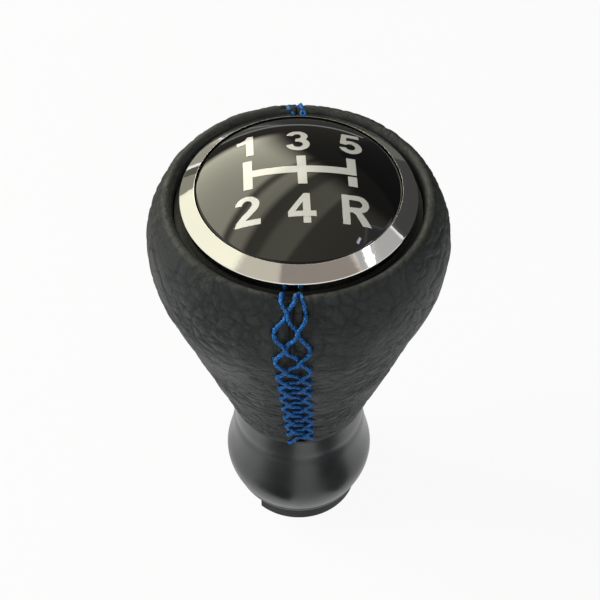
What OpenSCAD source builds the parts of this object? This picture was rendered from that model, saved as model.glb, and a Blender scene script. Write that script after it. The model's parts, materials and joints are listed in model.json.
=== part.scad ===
/* [Grip] */
// Width of the grip over the leather at its widest
head_d = 54; // [53:0.1:56]
// Height of the widest point above the foot
head_z = 74; // [72:0.1:76]
// Radius of the arc from the widest point up to the rim
crown_r = 17; // [16.5:0.1:18]
// Radius of the arc from the widest point down to the taper
belly_r = 28; // [26:0.5:30]
// Width of the leather's shoulder, from the widest point in to the mouth
shoulder_w = 5.2; // [4.8:0.1:5.6]
// Rounding of the leather over the rim
rim_r = 1.25; // [1.2:0.01:1.3]
// Width of the leather at its lower edge
neck_d = 26.8; // [26.6:0.1:28]
// Height of the leather's lower edge above the foot
neck_z = 28.9; // [28.4:0.1:29.6]
// Wall of the moulded core
core_wall = 2.4; // [2:0.1:2.6]
// Thickness of the core's floor over the collar
core_floor_t = 3; // [2.4:0.1:3.6]
// Wall of the core's tube round the lever sleeve
tube_wall = 1.8; // [1.4:0.1:2.2]
// Thickness of the core's ribs
rib_t = 1.6; // [1.2:0.1:2.4]
// Ribs between the core's tube and its shell
rib_count = 6; // [3:1:8]

/* [Leather] */
// Thickness of the leather
leather_t = 1; // [0.9:0.01:1.05]
// Width of the open joint between the two panels
seam_gap = 0.6; // [0.4:0.1:1]
// Width of the ditch that the panels' folded edges form
ditch_w = 4; // [3.6:0.1:4.4]
// Depth of that ditch
ditch_depth = 0.7; // [0.68:0.01:0.8]
// Lean of both seams off upright, in degrees
seam_lean = 1.6; // [0:0.1:3]
// Turn of both seams round the lever's axis, in degrees
seam_turn = -2; // [-4:0.5:4]
// Depth that the leather is tucked into the mouth
tuck = 3.2; // [2.6:0.1:3.4]

/* [Lacing] */
// Thickness of the thread
thread_d = 0.8; // [0.4:0.05:0.8]
// Distance between two stitch holes along a seam
lace_pitch = 5.78; // [5:0.05:7]
// Distance of the first left hole below the top of the rim
lace_start = 0.1; // [0:0.1:1]
// Width between the hole rows below the rim
lace_top_w = 6.3; // [5:0.1:7.5]
// Share of that width which is left on the rim itself
lace_rim_share = 0.65; // [0.6:0.05:1]
// Distance below the rim at which the rows reach their full width
lace_spread = 5; // [3:0.5:8]
// Width between the hole rows at the lower edge
lace_low_w = 4.9; // [4:0.1:6]
// Least distance of a stitch hole from the lower edge
lace_edge = 0.6; // [0.5:0.05:1]
// Clearance of the thread in a stitch hole
hole_clear = 0.1; // [0.05:0.05:0.2]

/* [Badge] */
// Radius of the badge's domed top
dome_r = 35.6; // [32:0.2:45]
// Height of the badge's straight edge
badge_edge = 1.05; // [0.8:0.05:1.2]
// Depth of the badge's edge below the top of the bezel
badge_sunk = 0.3; // [0.1:0.05:0.5]
// Thickness of the adhesive pad under the badge
pad_t = 0.8; // [0.5:0.1:0.9]
// Distance from the pad's edge to the badge's edge
pad_inset = 1.3; // [1:0.1:3]
// Width of the printed lines
line_w = 1.55; // [1:0.05:2]
// Distance between two columns of the shift pattern
gate_pitch = 9.1; // [7:0.1:10]
// Height of the pattern's upright lines
gate_h = 6.7; // [5:0.1:8]
// Gap in the print above reverse
reverse_gap = 0.4; // [0.3:0.05:0.8]
// Turn of the printed pattern on the badge, in degrees
pattern_turn = 2.7; // [0:0.1:5]

/* [Bezel] */
// Width of the chromed bezel's face, from its outside in to the badge
bezel_w = 2.8; // [2.6:0.1:3]
// Height of the bezel's straight wall
bezel_h = 2.7; // [2.5:0.1:3]
// Rise of the bezel's sloping face
bezel_rise = 1.9; // [1.6:0.1:2.2]
// Rounding of the bezel's two upper edges
bezel_edge_r = 0.25; // [0.1:0.05:0.3]
// Wall of the bezel
bezel_wall = 1.1; // [1:0.05:1.2]
// Clearance between the bezel and the badge
badge_clear = 0.1; // [0.05:0.05:0.2]
// Width of the dark groove between the bezel and the leather
groove_w = 1.2; // [1:0.1:1.4]

/* [Seat] */
// Thickness of the seat's flange
flange_t = 2.1; // [1.8:0.1:2.4]
// Clearance between the seat and the leather in the mouth
mouth_clear = 0.2; // [0.1:0.05:0.3]
// Width of the ledge that carries the seat
ledge_w = 1.9; // [1.8:0.1:2.2]
// Thickness of that ledge
ledge_t = 2.2; // [1.8:0.1:2.4]
// Clearance between snap legs and what they pass
snap_clear = 0.1; // [0.05:0.05:0.15]
// Thickness of all snap legs
snap_t = 0.9; // [0.7:0.05:1.1]
// Height of a snap leg's hook
snap_h = 1; // [0.8:0.1:1.2]
// Reach of a snap leg's hook
snap_out = 0.5; // [0.3:0.05:0.6]
// Thickness of the seat's plate and cup
plate_t = 2; // [1.6:0.1:2.2]

/* [Collar] */
// Widest diameter of the collar
collar_d = 29.94; // [29:0.1:31]
// Height of the collar's widest point
collar_belly_z = 11.4; // [10:0.1:12]
// Height of the collar's lower edge, which the gaiter ring fills below
collar_z = 4.4; // [4:0.1:5]
// Height of the collar's upright lower edge
lip_h = 0.9; // [0.6:0.1:1.2]
// Width of the collar at its lower edge
collar_lip_d = 26.7; // [26:0.1:27.4]
// Gap between the collar and the leather above it
collar_gap = 0.2; // [0.1:0.05:0.4]
// Thickness of the collar's roof under the leather
collar_roof_t = 2.4; // [2:0.1:2.8]
// Depth of the shallow valley under the leather
valley_depth = 0.16; // [0:0.02:0.3]
// Wall of the collar's spigot
spigot_t = 1.4; // [1.2:0.1:1.5]
// Outer diameter of the collar's spigot
spigot_d = 20.8; // [20.6:0.1:21]
// Length of the spigot above the collar
spigot_len = 4.2; // [4:0.1:4.6]
// Width of the slots between the spigot's fingers
spigot_slot_w = 1.2; // [1:0.1:1.6]
// Inner diameter of the collar's skirt
skirt_bore_d = 22.8; // [22.4:0.1:23]

/* [Gaiter ring] */
// Outer diameter of the gaiter ring at the foot
foot_d = 24.2; // [23.6:0.1:25]
// Inner diameter of the gaiter ring
foot_bore_d = 19; // [18.6:0.1:19.2]
// Length of the ring's spigot inside the collar
foot_spigot_h = 3.5; // [3:0.1:4]
// Depth of each bayonet gap
bayonet_depth = 1.4; // [1:0.1:1.6]
// Width of each bayonet gap, in degrees
bayonet_angle = 49; // [30:1:60]
// Direction of the first bayonet gap's middle, in degrees
bayonet_turn = 204.5; // [190:0.5:215]

/* [Lever sleeve] */
// Diameter of the bore for the gear lever
lever_d = 12; // [11:0.1:12.4]
// Depth of the bore from the sleeve's mouth
lever_depth = 45; // [40:0.5:46]
// Height of the sleeve's mouth above the foot
sleeve_z = 14; // [13.5:0.1:14.5]
// Thickness of the sleeve's flange
sleeve_flange_t = 1.9; // [1.5:0.1:2.4]
// Wall over the blind end of the bore
sleeve_end_t = 2.6; // [2:0.1:3]
// Wall of the sleeve
sleeve_wall = 2.1; // [1.8:0.1:2.2]
// Width of the slots between the sleeve's fingers
slot_w = 1.4; // [1:0.1:2]
// Clearance between the sleeve and the core's tube
sleeve_clear = 0.1; // [0.05:0.05:0.15]
// Distance from the sleeve's mouth up to the spring clip
clip_lift = 3.2; // [2.6:0.1:4]
// Depth of the groove that holds the spring clip
clip_depth = 0.6; // [0.4:0.05:0.8]
// Thickness of the spring clip round the fingers
clip_t = 0.8; // [0.6:0.1:0.9]
// Height of the spring clip
clip_h = 3; // [2:0.1:4]

/* [Hidden] */
$fn = 96;

gloss_black = [0.04, 0.04, 0.045];
print_white = [0.92, 0.92, 0.9];
foam_grey = [0.45, 0.45, 0.45];
chrome_silver = [0.85, 0.86, 0.88];
moulded_black = [0.08, 0.08, 0.085];
leather_black = [0.13, 0.135, 0.135];
thread_blue = [0.05, 0.3, 0.72];
satin_grey = [0.2, 0.205, 0.2];
nylon_white = [0.82, 0.81, 0.76];
spring_steel = [0.6, 0.61, 0.63];

// Cutters reach this far past what they cut, and added features this far into it
cut = 1;
root = 0.5;
// Film of glue under the leather, and of ink on the badge
glue_gap = 0.05;
ink_gap = 0.02;
ink_t = 0.1;

// The grip's outline: arcs, the taper's angle and the rim
head_r = head_d / 2;
neck_r = neck_d / 2;
crown_c = head_r - crown_r;
belly_c = head_r - belly_r;
mouth_r = head_r - shoulder_w;
bezel_r = mouth_r - groove_w;
badge_r = bezel_r - bezel_w;
rim_c = mouth_r + rim_r;
rim_a = acos((rim_c - crown_c) / (crown_r - rim_r));
rim_z = head_z + (crown_r - rim_r) * sin(rim_a);
taper_run = [neck_r - belly_c, head_z - neck_z];
taper_a = atan2(taper_run[1], taper_run[0]) - acos(belly_r / norm(taper_run));
taper_top = [belly_c + belly_r * cos(taper_a), head_z - belly_r * sin(taper_a)];

// Lengths along a seam, counted down from the top of the rim
deg = PI / 180;
mouth_len = rim_r * 90 * deg;
rim_len = rim_r * (90 - rim_a) * deg;
crown_len = rim_len + crown_r * rim_a * deg;
belly_len = crown_len + belly_r * taper_a * deg;
taper_len = (taper_top[1] - neck_z) / cos(taper_a);
seam_len = belly_len + taper_len;

// The stack in the mouth, from the ledge up
core_depth = leather_t + glue_gap;
core_rim_r = mouth_r + core_depth;
ledge_r = core_rim_r - ledge_w;
seat_z = rim_z - tuck - mouth_clear;
ledge_z = seat_z - ledge_t;
floor_z = seat_z + flange_t;
bezel_foot_z = floor_z + snap_clear;
bezel_z = bezel_foot_z + bezel_h;
bezel_top_z = bezel_z + bezel_rise;
bezel_in_r = badge_r + badge_clear;
badge_top_z = bezel_top_z - badge_sunk + dome_r - sqrt(dome_r * dome_r - badge_r * badge_r);
badge_z = bezel_top_z - badge_sunk - badge_edge;
plinth_z = badge_z - pad_t;
plinth_r = badge_r - badge_clear;

// Snap hooks and legs
snap_a = 16;
hook_r = bezel_r - bezel_wall;
leg_r = ledge_r - snap_clear;

// Lever tube, sleeve, clip and collar, from the foot up
lever_r = lever_d / 2;
sleeve_r = lever_r + sleeve_wall;
tube_r = sleeve_r + sleeve_clear;
spigot_r = spigot_d / 2;
spigot_in_r = spigot_r - spigot_t;
collar_top_z = neck_z - collar_gap;
collar_step = 0.5;
collar_top_r = neck_r - collar_step;
collar_roof_z = collar_top_z - collar_roof_t;
spigot_top_z = collar_top_z + spigot_len;
barb_drop = 0.3;
barb_z = spigot_top_z - snap_h - barb_drop;
sleeve_flange_z = spigot_top_z + snap_clear;
core_floor_z = sleeve_flange_z + sleeve_flange_t;
core_cavity_z = core_floor_z + core_floor_t;
socket_r = spigot_r + snap_clear;
bore_end_z = sleeve_z + lever_depth;
sleeve_top_z = bore_end_z + sleeve_end_t;
tube_end_gap = 0.4;
tube_end_z = sleeve_top_z + tube_end_gap;
rib_drop = 2;
rib_top_z = tube_end_z - rib_drop;
lead_in = 1;
clip_z = sleeve_z + clip_lift;
clip_open_a = 40;
clip_clear = 0.03;
slot_end = 4;
slot_top_z = sleeve_flange_z - slot_end;

// Gaiter ring and the collar's skirt
skirt_r = skirt_bore_d / 2;
foot_r = foot_d / 2;
foot_bore_r = foot_bore_d / 2;
foot_spigot_r = skirt_r - snap_clear;
foot_spigot_z = collar_z + foot_spigot_h;
relief_gap = 0.3;
relief_z = foot_spigot_z + relief_gap;
relief_h = 5;
relief_top_z = relief_z + relief_h;
relief_depth = 1.5;

function arc(c, r, a0, a1, n) = [
    for (i = [0:n]) let (a = a0 + (a1 - a0) * i / n) [c[0] + r * cos(a), c[1] + r * sin(a)]
];
function reversed(p) = [for (i = [len(p) - 1:-1:0]) p[i]];
function bezier(p, n) = [
    for (i = [0:n]) let (t = i / n, u = 1 - t)
        u * u * u * p[0] + 3 * u * u * t * p[1] + 3 * u * t * t * p[2] + t * t * t * p[3]
];

// The grip's side at a depth below the leather's surface, from a height up to an arc's end
function taper_r(z, depth) =
    belly_c + (belly_r - depth) / cos(taper_a) - (head_z - z) * tan(taper_a);
function side_path(depth, z0, a1) = concat(
    [[taper_r(z0, depth), z0]],
    arc([belly_c, head_z], belly_r - depth, -taper_a, 0, 6),
    arc([crown_c, head_z], crown_r - depth, 0, a1, 10)
);
// The same outline carried over the rim and down into the mouth
function skin_path(depth, z0, z1) = concat(
    side_path(depth, z0, rim_a),
    arc([rim_c, rim_z], rim_r - depth, rim_a, 180, 6),
    [[mouth_r + depth, z1]]
);

// A place along a seam: radius, height and the angle at which the leather faces there
function on_arc(c, z, r, a) = [c + r * cos(a), z + r * sin(a), a];
function seam_point(s) =
    s < -mouth_len ? [mouth_r, rim_z + mouth_len + s, 180]
    : s < rim_len ? on_arc(rim_c, rim_z, rim_r, 90 - s / rim_r / deg)
    : s < crown_len ? on_arc(crown_c, head_z, crown_r, (crown_len - s) / crown_r / deg)
    : s < belly_len ? on_arc(belly_c, head_z, belly_r, -(s - crown_len) / belly_r / deg)
    : [
        taper_top[0] - (s - belly_len) * sin(taper_a),
        taper_top[1] - (s - belly_len) * cos(taper_a),
        -taper_a
    ];

// The seams lean, so their middle moves sideways with height
lean_z = (rim_z + neck_z) / 2;
function seam_x(z) = (lean_z - z) * tan(seam_lean);
function lace_half(s) =
    min(1, lace_rim_share + (1 - lace_rim_share) * s / lace_spread)
    * (lace_top_w + (lace_low_w - lace_top_w) * max(s, 0) / seam_len) / 2;

// A point of the front seam, from -1 at the left row of holes to 1 at the right, lifted off
function over_seam(across, s, lift) =
    let (
        p = seam_point(s),
        x = seam_x(p[1]) + across * lace_half(s),
        out = 1 + lift * cos(p[2]) / p[0]
    )
    [x * out, -sqrt(p[0] * p[0] - x * x) * out, p[1] + lift * sin(p[2])];

// Clearance of a strand over the leather and over another strand
strand_clear = 0.12;
crossing_clear = 0.05;
// Height of a strand's middle over the leather, and how far it rises and dips at crossings
thread_lift = thread_d / 2 + strand_clear;
thread_dip = -0.8 * leather_t;
crossing_lift = thread_d / 2 + crossing_clear;
crossing_rise = [[0, 0], [1 / 6, 0.5], [1 / 3, 1.1], [1 / 2, 0], [2 / 3, -0.95], [5 / 6, 0], [1, 0]];
// Share of a strand's way over which it turns up out of a hole
strand_bend = 0.02;
// Half the distance between two strands that share a hole
end_shift = thread_d / 2 + 0.03;

// Left holes count from the rim; right ones lie half a pitch lower, with one in the mouth
last_hole = floor((seam_len - lace_edge - lace_start) / lace_pitch);
function hole_s(side, i) = lace_start + (i + (side > 0 ? 0.5 : 0)) * lace_pitch;
function first_hole(side) = side > 0 ? -1 : 0;
function clears_edge(s) = s < seam_len - lace_edge;
function is_hole(side, i) = i >= first_hole(side) && clears_edge(hole_s(side, i));

module turned(points) {
    rotate_extrude()
        polygon(points);
}

// A stretch of ring, centred on a direction
module ring_sector(direction, angle, points) {
    rotate_extrude(angle = angle, start = direction - angle / 2)
        polygon(points);
}

module leaned() {
    translate([0, 0, lean_z])
        rotate([0, -seam_lean, 0])
            translate([0, 0, -lean_z])
                children();
}

// Ditch along the front seam: wheels whose wedge-shaped rims follow the outline's arcs
module ditch_wheel(c, z, r, a0, a1) {
    translate([0, -c, z])
        rotate([90, 0, -90])
            rotate_extrude(angle = a1 - a0, start = a0)
                polygon([
                    [r - ditch_depth, 0],
                    [r + ditch_depth, ditch_w],
                    [r + ditch_depth, -ditch_w]
                ]);
}

module ditch_taper() {
    translate([0, -taper_top[0], taper_top[1]])
        rotate([180 + taper_a, 0, 0])
            linear_extrude(taper_len + cut)
                polygon([[0, -ditch_depth], [ditch_w, ditch_depth], [-ditch_w, ditch_depth]]);
}

// Wheels overlap a little, because each arc runs on into the next
module seam_ditch() {
    leaned() {
        ditch_taper();
        ditch_wheel(belly_c, head_z, belly_r, -taper_a - 1.4, 0.6);
        ditch_wheel(crown_c, head_z, crown_r, -1.9, rim_a + 0.8);
        ditch_wheel(rim_c, rim_z, rim_r, rim_a - 5, 171);
    }
}

// Two strands share a hole, one above the other
module stitch_holes(side) {
    for (i = [first_hole(side):last_hole], shift = [-end_shift, end_shift]) {
        s = hole_s(side, i) + shift;
        if (is_hole(side, i) && clears_edge(s)) {
            p = over_seam(side, s, 0);
            translate(p)
                rotate([0, 90 - seam_point(s)[2], atan2(p[1], p[0])])
                    cylinder(d = thread_d + 2 * hole_clear, h = 2.4 * leather_t, center = true, $fn = 24);
        }
    }
}

module both_seams() {
    children();
    mirror([0, 1, 0])
        children();
}

module half_skin(side) {
    difference() {
        turned(concat(
            skin_path(0, neck_z, rim_z - tuck),
            reversed(skin_path(leather_t, neck_z, rim_z - tuck))
        ));
        leaned()
            translate([-head_d / 2 - side * (head_d - seam_gap) / 2, -head_d, 0])
                cube([head_d, 2 * head_d, 2 * head_z]);
    }
}

module ditched_skin(side) {
    difference() {
        half_skin(side);
        both_seams()
            seam_ditch();
    }
}

module leather_panel(side) {
    difference() {
        ditched_skin(side);
        both_seams()
            stitch_holes(side);
    }
}

module left_leather() {
    color(leather_black)
        rotate(seam_turn)
            leather_panel(-1);
}

module right_leather() {
    color(leather_black)
        rotate(seam_turn)
            leather_panel(1);
}

// One strand of thread, swept with a hexagonal section along points that lie over the seam
thread_sides = 6;
function unit(v) = v / norm(v);
function strand_ring(p, i, across) =
    let (
        dir = unit(p[min(i + 1, len(p) - 1)] - p[max(i - 1, 0)]),
        side = unit(across - dir * (across * dir)),
        up = cross(side, dir)
    )
    [for (k = [0:thread_sides - 1]) p[i] + thread_d / 2 * (side * cos(60 * k) + up * sin(60 * k))];

module strand(p) {
    n = len(p);
    m = thread_sides;
    middle = p[floor(n / 2)];
    across = cross(unit(p[n - 1] - p[0]), unit([middle[0], middle[1], 0]));
    polyhedron(
        points = [for (i = [0:n - 1]) each strand_ring(p, i, across)],
        faces = concat(
            [[for (k = [0:m - 1]) k]],
            [for (i = [0:n - 2], k = [0:m - 1])
                [i * m + k, (i + 1) * m + k, (i + 1) * m + (k + 1) % m, i * m + (k + 1) % m]],
            [[for (k = [m - 1:-1:0]) (n - 1) * m + k]]
        )
    );
}

// A strand leaves the hole on one side and enters one further down on the other side. It passes
// over a strand at a third of its way and under another at two thirds
function strand_path(side, i, side2, j) =
    let (
        s0 = hole_s(side, i) + end_shift,
        s1 = hole_s(side2, j) - end_shift,
        steps = s0 < 0 ? 12 : 6
    )
    concat(
        [over_seam(side, s0, thread_dip)],
        [for (k = [0:steps])
            let (
                t = k / steps,
                u = max(strand_bend, min(1 - strand_bend, t)),
                lift = thread_lift + crossing_lift * lookup(t, crossing_rise)
            )
                over_seam(side + (side2 - side) * u, s0 + (s1 - s0) * u, lift)],
        [over_seam(side2, s1, thread_dip)]
    );

module cross_strand(side, i, side2, j) {
    if (is_hole(side, i) && is_hole(side2, j))
        strand(strand_path(side, i, side2, j));
}

module lacing() {
    for (i = [-1:last_hole]) {
        cross_strand(1, i, -1, i + 2);
        cross_strand(-1, i, 1, i + 1);
    }
}

module front_lacing() {
    color(thread_blue)
        rotate(seam_turn)
            lacing();
}

module rear_lacing() {
    color(thread_blue)
        rotate(seam_turn)
            mirror([0, 1, 0])
                lacing();
}

module badge_dome() {
    color(gloss_black)
        intersection() {
            translate([0, 0, badge_top_z - dome_r])
                sphere(dome_r);
            translate([0, 0, badge_z])
                cylinder(r = badge_r, h = dome_r);
        }
}

// Upright line of the shift pattern
module gate_line(column, y0, y1) {
    translate([column * gate_pitch - line_w / 2, y0])
        square([line_w, y1 - y0]);
}

module gate_pattern() {
    h = gate_h / 2;
    gate_line(-1, -h, h);
    gate_line(0, -h, h);
    gate_line(1, -line_w / 2, h);
    gate_line(1, -h, -line_w / 2 - reverse_gap);
    translate([-gate_pitch, -line_w / 2])
        square([2 * gate_pitch, line_w]);
}

module gate_print() {
    color(print_white)
        difference() {
            intersection() {
                translate([0, 0, badge_top_z - dome_r])
                    sphere(dome_r + ink_gap + ink_t, $fn = 180);
                translate([0, 0, badge_z])
                    linear_extrude(dome_r)
                        rotate(pattern_turn)
                            gate_pattern();
            }
            translate([0, 0, badge_top_z - dome_r])
                sphere(dome_r + ink_gap, $fn = 180);
        }
}

module adhesive_pad() {
    color(foam_grey)
        translate([0, 0, plinth_z])
            cylinder(r = badge_r - pad_inset, h = pad_t);
}

module bezel_ring() {
    slope = atan2(bezel_rise, bezel_r - bezel_in_r);
    under = bezel_wall / cos(slope);
    e = bezel_edge_r;
    outer_c = [bezel_r - e, bezel_z - e * tan(45 - slope / 2)];
    inner_c = [bezel_in_r + e, bezel_top_z - e * tan(45 + slope / 2)];
    color(chrome_silver) {
        turned(concat(
            [[hook_r, bezel_foot_z], [bezel_r, bezel_foot_z]],
            arc(outer_c, e, 0, 90 - slope, 4),
            arc(inner_c, e, 90 - slope, 180, 5),
            [
                [bezel_in_r, bezel_top_z - under],
                [hook_r, bezel_z + bezel_wall * tan(slope) - under]
            ]
        ));
        for (k = [0:3])
            ring_sector(45 + 90 * k, snap_a, [
                [hook_r, bezel_foot_z + root],
                [hook_r + snap_t, bezel_foot_z + root],
                [hook_r + snap_t, seat_z - snap_clear - snap_h],
                [hook_r, seat_z - snap_clear - snap_h],
                [hook_r - snap_out, seat_z - snap_clear - snap_h / 2],
                [hook_r - snap_out, seat_z - snap_clear],
                [hook_r, seat_z - snap_clear]
            ]);
    }
}

module badge_seat() {
    cup_r = plinth_r - plate_t;
    color(moulded_black)
        difference() {
            union() {
                turned([
                    [cup_r, seat_z],
                    [mouth_r - mouth_clear, seat_z],
                    [mouth_r - mouth_clear, floor_z],
                    [plinth_r, floor_z],
                    [plinth_r, plinth_z],
                    [0, plinth_z],
                    [0, plinth_z - plate_t],
                    [cup_r, plinth_z - plate_t]
                ]);
                for (k = [0:1])
                    rotate([0, 0, 45 + 90 * k])
                        translate([-cup_r - root, -rib_t / 2, seat_z])
                            cube([2 * (cup_r + root), rib_t, plinth_z - plate_t + root - seat_z]);
                for (k = [0:3])
                    ring_sector(90 * k, snap_a, [
                        [leg_r - snap_t, seat_z + root],
                        [leg_r, seat_z + root],
                        [leg_r, ledge_z - snap_clear],
                        [leg_r + snap_out, ledge_z - snap_clear],
                        [leg_r + snap_out, ledge_z - snap_clear - snap_h / 2],
                        [leg_r, ledge_z - snap_clear - snap_h],
                        [leg_r - snap_t, ledge_z - snap_clear - snap_h]
                    ]);
            }
            for (k = [0:3])
                ring_sector(45 + 90 * k, snap_a + 1, [
                    [hook_r - snap_clear, seat_z - cut],
                    [hook_r + snap_t + snap_clear, seat_z - cut],
                    [hook_r + snap_t + snap_clear, floor_z + cut],
                    [hook_r - snap_clear, floor_z + cut]
                ]);
        }
}

module grip_core() {
    inner = core_depth + core_wall;
    ledge_a = asin((ledge_z - head_z) / (crown_r - inner));
    tube_out_r = tube_r + tube_wall;
    color(moulded_black) {
        turned(concat(
            skin_path(core_depth, neck_z, seat_z),
            [[ledge_r, seat_z], [ledge_r, ledge_z]],
            reversed(side_path(inner, core_cavity_z, ledge_a)),
            [
                [tube_out_r, core_cavity_z],
                [tube_out_r, tube_end_z + tube_wall],
                [0, tube_end_z + tube_wall],
                [0, tube_end_z],
                [tube_r, tube_end_z],
                [tube_r, core_floor_z],
                [socket_r + snap_out, core_floor_z],
                [socket_r + snap_out, barb_z - snap_clear],
                [socket_r, barb_z - snap_clear],
                [socket_r, neck_z]
            ]
        ));
        intersection() {
            turned(concat(
                [[tube_out_r - root, core_cavity_z - root]],
                side_path(inner - root, core_cavity_z - root, 0),
                [[tube_out_r - root, head_z]]
            ));
            for (k = [0:rib_count - 1])
                rotate([0, 0, (k + 0.5) * 360 / rib_count])
                    translate([0, -rib_t / 2, 0])
                        cube([head_r, rib_t, rib_top_z]);
        }
    }
}

module lower_collar() {
    belly = [collar_d / 2, collar_belly_z];
    lip = [collar_lip_d / 2, collar_z + lip_h];
    upper = bezier([[collar_top_r, collar_top_z], [collar_top_r + 0.05, 17], belly + [0, 3.1], belly], 14);
    lower = bezier([belly, belly - [0, 2.4], lip + [0.7, 1.3], lip], 8);
    valley_z = collar_top_z - 6;
    color(satin_grey)
        difference() {
            union() {
                turned(concat(
                    [for (p = upper) p - [valley_depth * max(0, 1 - abs(p[1] - valley_z) / 2), 0]],
                    lower,
                    [
                        lip - [0, lip_h / 3],
                        lip - [0, 2 * lip_h / 3],
                        [lip[0] - lip_h / 3, collar_z],
                        [skirt_r, collar_z],
                        [skirt_r, relief_z],
                        [skirt_r + relief_depth, relief_z],
                        [skirt_r + relief_depth, relief_top_z],
                        [skirt_r, relief_top_z + relief_depth],
                        [skirt_r, collar_roof_z],
                        [spigot_in_r, collar_roof_z],
                        [spigot_in_r, spigot_top_z],
                        [spigot_r, spigot_top_z],
                        [spigot_r, collar_top_z]
                    ]
                ));
                for (k = [0:2])
                    ring_sector(90 + 120 * k, 36, [
                        [spigot_r - root, barb_z],
                        [spigot_r + snap_out - snap_clear, barb_z],
                        [spigot_r + snap_out - snap_clear, barb_z + snap_h / 2],
                        [spigot_r - root, barb_z + snap_h]
                    ]);
            }
            for (k = [0:5])
                rotate([0, 0, 60 + 60 * k])
                    translate([0, -spigot_slot_w / 2, collar_top_z + root])
                        cube([spigot_d, spigot_slot_w, spigot_len]);
        }
}

module gaiter_ring() {
    color(moulded_black)
        difference() {
            union() {
                turned([
                    [foot_bore_r, 0],
                    [foot_r, 0],
                    [foot_r, collar_z],
                    [foot_spigot_r, collar_z],
                    [foot_spigot_r, foot_spigot_z],
                    [foot_bore_r, foot_spigot_z]
                ]);
                for (k = [0:3])
                    ring_sector(45 + 90 * k, 24, [
                        [foot_spigot_r - snap_t, foot_spigot_z - root],
                        [foot_spigot_r, foot_spigot_z - root],
                        [foot_spigot_r, relief_z + snap_clear],
                        [foot_spigot_r + snap_out, relief_z + snap_clear],
                        [foot_spigot_r + snap_out, relief_z + snap_clear + snap_h / 2],
                        [foot_spigot_r, relief_z + snap_clear + 2 * snap_h],
                        [foot_spigot_r - snap_t, relief_z + snap_clear + 2 * snap_h]
                    ]);
            }
            for (k = [0:1])
                ring_sector(bayonet_turn + 180 * k, bayonet_angle, [
                    [foot_r - bayonet_depth, -cut],
                    [foot_r + cut, -cut],
                    [foot_r + cut, collar_z],
                    [foot_r - bayonet_depth, collar_z]
                ]);
        }
}

module lever_sleeve() {
    color(nylon_white)
        difference() {
            turned([
                [lever_r + lead_in, sleeve_z],
                [sleeve_r, sleeve_z],
                [sleeve_r, sleeve_flange_z],
                [spigot_r - root, sleeve_flange_z],
                [spigot_r - root, core_floor_z],
                [sleeve_r, core_floor_z],
                [sleeve_r, sleeve_top_z],
                [0, sleeve_top_z],
                [0, bore_end_z],
                [lever_r, bore_end_z],
                [lever_r, sleeve_z + lead_in]
            ]);
            turned([
                [sleeve_r - clip_depth, clip_z],
                [sleeve_r + cut, clip_z],
                [sleeve_r + cut, clip_z + clip_h],
                [sleeve_r - clip_depth, clip_z + clip_h]
            ]);
            for (k = [0:1])
                rotate([0, 0, 45 + 90 * k])
                    translate([-sleeve_r - cut, -slot_w / 2, sleeve_z - cut])
                        cube([2 * (sleeve_r + cut), slot_w, slot_top_z - sleeve_z + cut]);
        }
}

module sleeve_clip() {
    r = sleeve_r - clip_depth + clip_clear;
    z0 = clip_z + clip_clear;
    z1 = clip_z + clip_h - clip_clear;
    color(spring_steel)
        ring_sector(90, 360 - clip_open_a, [[r, z0], [r + clip_t, z0], [r + clip_t, z1], [r, z1]]);
}

badge_dome();
gate_print();
adhesive_pad();
bezel_ring();
badge_seat();
grip_core();
left_leather();
right_leather();
front_lacing();
rear_lacing();
lower_collar();
gaiter_ring();
lever_sleeve();
sleeve_clip();
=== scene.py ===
"""Gear shift knob with a laced leather grip: its looks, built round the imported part."""
import json
import math

import bmesh
import bpy
import numpy as np
from mathutils import Matrix, Vector, noise


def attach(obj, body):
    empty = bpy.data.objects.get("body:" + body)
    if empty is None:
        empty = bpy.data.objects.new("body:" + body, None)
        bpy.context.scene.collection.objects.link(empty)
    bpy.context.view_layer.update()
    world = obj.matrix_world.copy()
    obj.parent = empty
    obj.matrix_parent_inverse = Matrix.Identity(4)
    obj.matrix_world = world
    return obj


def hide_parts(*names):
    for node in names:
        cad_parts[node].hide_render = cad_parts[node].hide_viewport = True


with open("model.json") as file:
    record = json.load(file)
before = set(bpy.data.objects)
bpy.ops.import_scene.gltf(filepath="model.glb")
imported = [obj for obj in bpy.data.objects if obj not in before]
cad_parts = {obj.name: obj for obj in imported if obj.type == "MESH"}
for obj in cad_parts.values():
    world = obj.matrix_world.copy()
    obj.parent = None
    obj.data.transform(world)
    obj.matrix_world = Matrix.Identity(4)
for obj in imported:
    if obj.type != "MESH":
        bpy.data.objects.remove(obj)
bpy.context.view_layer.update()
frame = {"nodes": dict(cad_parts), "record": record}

# Sizes are in millimetres, as in the part's source, and heights count up from the foot.
# At the end of a name R is a radius, D a diameter, W a width, H or Z a height, T a thickness,
# C an arc's centre and A an angle.
MM = 0.001

# Grip
HEAD_R = 27.0
HEAD_Z = 74.0
CROWN_R = 17.0
BELLY_R = 28.0
SHOULDER_W = 5.2
RIM_R = 1.25
NECK_R = 13.4
NECK_Z = 28.9
LEATHER_T = 1.0
TUCK = 3.2

# Seat, bezel and badge
FLANGE_T = 2.1
MOUTH_CLEAR = 0.2
SNAP_CLEAR = 0.1
GROOVE_W = 1.2
BEZEL_W = 2.8
BEZEL_H = 2.7
BEZEL_RISE = 1.9
BEZEL_WALL = 1.1
BEZEL_ROUNDINGS = [0.1, 0.15, 0.3, 0.012, 0.1, 0.1]
BADGE_CLEAR = 0.1
BADGE_SUNK = 0.3
BADGE_EDGE = 1.05
DOME_R = 35.6

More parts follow.
